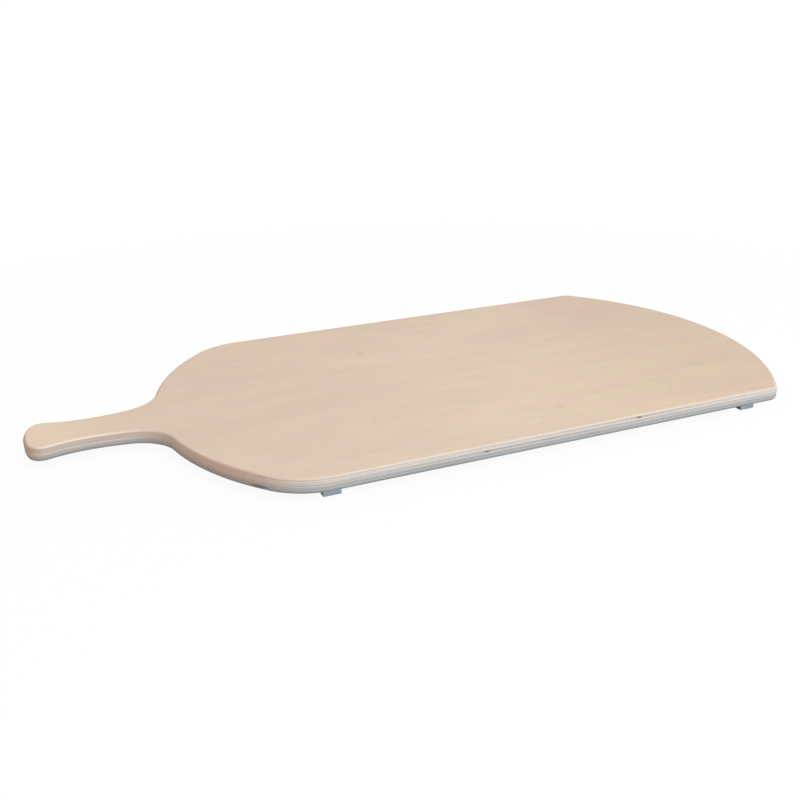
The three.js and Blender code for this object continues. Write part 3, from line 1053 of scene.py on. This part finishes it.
# %% The zinc plating
ZINC_GREY = (0.520, 0.525, 0.530)
ZINC_BLOTCHES = 900
ZINC_GRAIN = 9000
ZINC_SWINGS = {"blotches": 0.25, "grain": 0.08}
ZINC_ROUGHNESS = 0.22
BLOTCH_ROUGHNESS = 0.25
ZINC_RELIEF = 0.01 * MILLIMETRE


def zinc():
    """Zinc plating: satin, in soft blotches with a fine grain."""
    material, tree, shader, here = new_finish("zinc_plating")
    patterns = {"blotches": noise(tree, here, ZINC_BLOTCHES), "grain": noise(tree, here, ZINC_GRAIN)}
    colour = shaded(tree, ZINC_GREY, patterns, ZINC_SWINGS)
    roughness = maths(tree, "MULTIPLY_ADD", patterns["blotches"], BLOTCH_ROUGHNESS, ZINC_ROUGHNESS)
    painted(tree, shader, colour, roughness)
    shader.inputs["Metallic"].default_value = 1.0
    roughened(tree, shader, patterns["grain"], ZINC_RELIEF)
    return material


zinc_plating = zinc()
print("finish:", zinc_plating.name)

# %% Make the screws
SCREW_SHANK = 1.75 * MILLIMETRE
SCREW_SIZES = {
    "Rim": 0.4 * MILLIMETRE,
    "Shank radius": SCREW_SHANK,
    "Point": 4 * MILLIMETRE,
    "Thread depth": 0.5 * MILLIMETRE,
    "Pitch": 1.6 * MILLIMETRE,
    "Recess span": 4 * MILLIMETRE,
    "Recess slot": 0.9 * MILLIMETRE,
    "Recess depth": 1.6 * MILLIMETRE,
    "Recess": True,
    "Sides": 33,
    "Rings": 130,
}


def point_sketch(name, points):
    """Loose points for a tree to work on."""
    sketch = bpy.data.meshes.new(name)
    sketch.from_pydata(points, [], [])
    return sketch


screw_nodes = [node for node, slot in slot_of.items() if slot == "screw_steel"]
screw_boxes = [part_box(node) for node in screw_nodes]
head_faces = [((low.x + high.x) / 2, (low.y + high.y) / 2, low.z) for low, high in screw_boxes]
screw_low, screw_high = screw_boxes[0]
head_radius = (screw_high.x - screw_low.x) / 2
screw_length = screw_high.z - screw_low.z
sizes = {"Head radius": head_radius, "Length": screw_length, "Material": zinc_plating, **SCREW_SIZES}
screws = grown("bar_screws", point_sketch("screw_places", head_faces), wood_screw, sizes)
tell(screws)

# %% [markdown]
# ## Their holes
# A screw that simply ran through the bar and the plies would leave every mesh crossing another. Each
# hole is the screw's own shape without thread or recess, grown by the clearance and carried on down
# past the bar's underside, and that shape is cut out of both bars and of each ply that it reaches.

# %% Drill the bars and the plies
HOLE_CLEARANCE = 0.3 * MILLIMETRE
HOLE_MOUTH = 8 * MILLIMETRE
hole_sizes = {
    **sizes,
    "Head radius": head_radius + HOLE_CLEARANCE,
    "Shank radius": SCREW_SHANK + HOLE_CLEARANCE,
    "Rim": SCREW_SIZES["Rim"] + HOLE_MOUTH,
    "Length": screw_length + HOLE_CLEARANCE + HOLE_MOUTH,
    "Thread depth": 0.0,
    "Recess": False,
}
mouths = [(x, y, z - HOLE_MOUTH) for x, y, z in head_faces]
drill = grown("drill", point_sketch("hole_places", mouths), wood_screw, hole_sizes)
hole_top = screw_high.z + HOLE_CLEARANCE
drilled = list(bars.values()) + [ply for node, ply in plies.items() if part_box(node)[0].z < hole_top]
for piece in drilled:
    cut_from(piece, drill)
    tell(piece)
bpy.data.objects.remove(drill)

# %% [markdown]
# ## Handing the pieces to the frame
# Nothing on the board moves, so every piece rides on the one body, and each piece that stands for a
# solid hides it. The glue films stand for no solid, because the solids leave their gaps open.

# %% Ride and replace
for node, piece in {**plies, **bars}.items():
    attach(piece, "root")
    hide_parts(node)
for film in glue_films:
    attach(film, "root")
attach(screws, "root")
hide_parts(*screw_nodes)
print("handed over:", len(plies) + len(bars) + len(glue_films) + 1, "pieces")

# %% [markdown]
# ## Floor and world
# The board stands on white that runs on without a horizon. A real sweep is a curved sheet of paper;
# here a flat floor does, because the camera sees it mostly as plain white, with a little of its paper
# left near the board to take a shadow. The board itself is lit by a floor of middling grey, so that the
# underside of the rounding falls into shade as it does over a table.

# %% Make the floor
FLOOR_HALF = 6.0
FLOOR_DROP = 0.05 * MILLIMETRE
WHITE = (1, 1, 1, 1)
PAPER = (0.95, 0.95, 0.95, 1)
BOUNCE_GREY = (0.50, 0.50, 0.50, 1)
GLOW_NEAR = 0.93
GLOW_REACH = (0.5, 1.1)


def seen_straight(tree):
    """Whether the camera looks straight at a place, and whether it does so or sees it in metal or glass."""
    path = place(tree, "ShaderNodeLightPath").outputs
    mirrored = maths(tree, "MAXIMUM", path["Is Glossy Ray"], path["Is Transmission Ray"])
    return path["Is Camera Ray"], maths(tree, "MAXIMUM", path["Is Camera Ray"], mirrored)


def floor_finish():
    """White to the camera, with a little paper near the board for its shadow; grey to the board."""
    material = bpy.data.materials.new("white_floor")
    material.use_nodes = True
    tree = material.node_tree
    tree.nodes.clear()
    to_camera, seen = seen_straight(tree)
    here = place(tree, "ShaderNodeTexCoord").outputs["Object"]
    away = place(tree, "ShaderNodeVectorMath", {0: here}, operation="LENGTH").outputs["Value"]
    glow = maths(tree, "MULTIPLY_ADD", ramp(tree, away, *GLOW_REACH), 1 - GLOW_NEAR, GLOW_NEAR)
    paper = blend(tree, seen, BOUNCE_GREY, PAPER)
    sheet = place(tree, "ShaderNodeBsdfDiffuse", {"Color": paper}).outputs[0]
    white = place(tree, "ShaderNodeEmission", {"Color": WHITE, "Strength": 1.0}).outputs[0]
    shares = {0: maths(tree, "MULTIPLY", to_camera, glow), 1: sheet, 2: white}
    mix = place(tree, "ShaderNodeMixShader", shares).outputs[0]
    place(tree, "ShaderNodeOutputMaterial", {0: mix})
    return material


corners = [(x * FLOOR_HALF, y * FLOOR_HALF, -FLOOR_DROP) for x, y in [(-1, -1), (1, -1), (1, 1), (-1, 1)]]
floor_mesh = bpy.data.meshes.new("floor")
floor_mesh.from_pydata(corners, [], [(0, 1, 2, 3)])
floor_mesh.materials.append(floor_finish())
floor = shown("floor", floor_mesh)
print("floor:", 2 * FLOOR_HALF, "m wide")

# %% Make the world
AMBIENT = (0.685, 0.650, 0.620, 1)
world = bpy.data.worlds.new("soft_room")
world.use_nodes = True
bpy.context.scene.world = world
sky_tree = world.node_tree
sky_tree.nodes.clear()
seen = seen_straight(sky_tree)[1]
sky = {"Color": blend(sky_tree, seen, AMBIENT, WHITE), "Strength": 1.0}
room = place(sky_tree, "ShaderNodeBackground", sky).outputs[0]
place(sky_tree, "ShaderNodeOutputWorld", {0: room})
print("world: ambient", AMBIENT[:3])

# %% [markdown]
# ## The lamp
# One large lamp in front and a little to the right, at about 35 degrees, lights the top and the near
# edge alike and runs a highlight along the rounding, while the room fills in the rest. A second lamp
# would only wash out the rounding. The lamp's strength is given as a share of the level at which a
# colour renders as it is written.

# %% Make the lamp
KEY_DIRECTION = (0.25, -0.77, 0.585)
KEY_SHARE = 0.597
KEY_COLOUR = (0.90, 1.00, 1.09)
KEY_DISTANCE = 3.2
KEY_SIZE = 1.6


def soft_lamp(name, direction, share, colour, distance, size):
    """A square lamp that faces the board; a share of 1 renders colours as they are written."""
    data = bpy.data.lights.new(name, "AREA")
    data.size = size
    data.color = colour
    data.energy = share * math.pi**2 * distance**2
    lamp = bpy.data.objects.new(name, data)
    toward = Vector(direction).normalized()
    lamp.location = toward * distance
    lamp.rotation_euler = toward.to_track_quat("Z", "Y").to_euler()
    bpy.context.scene.collection.objects.link(lamp)
    print("lamp:", name, "share", share)


soft_lamp("key_lamp", KEY_DIRECTION, KEY_SHARE, KEY_COLOUR, KEY_DISTANCE, KEY_SIZE)

# %% [markdown]
# ## Camera
# The camera stands where the picture was taken from: its place, turn and focal length were fitted to
# the outline of the board until the two lay on each other to a third of a pixel. A camera placed by eye
# would look much the same, but no size read from the picture could then be trusted.

# %% Make the camera
IMAGE_PIXELS = 800
FOCAL_PIXELS = 869.05
SENSOR = 36.0
CAMERA_PLACE = Vector((-0.27713, -0.69762, 0.29633))
CAMERA_YAW = math.radians(-20.88)
CAMERA_PITCH = math.radians(21.93)
CAMERA_ROLL = math.radians(-1.84)
turn = Matrix.Rotation(CAMERA_YAW, 4, "Z")
tilt = Matrix.Rotation(QUARTER_TURN - CAMERA_PITCH, 4, "X")
roll = Matrix.Rotation(CAMERA_ROLL, 4, "Z")
camera_data = bpy.data.cameras.new("camera")
camera_data.sensor_width = SENSOR
camera_data.lens = SENSOR * FOCAL_PIXELS / IMAGE_PIXELS
camera = bpy.data.objects.new("camera", camera_data)
camera.matrix_world = Matrix.Translation(CAMERA_PLACE) @ turn @ tilt @ roll
bpy.context.scene.collection.objects.link(camera)
bpy.context.scene.camera = camera
bpy.context.scene.view_settings.view_transform = "Standard"
print("camera: lens", round(camera_data.lens, 2), "mm")
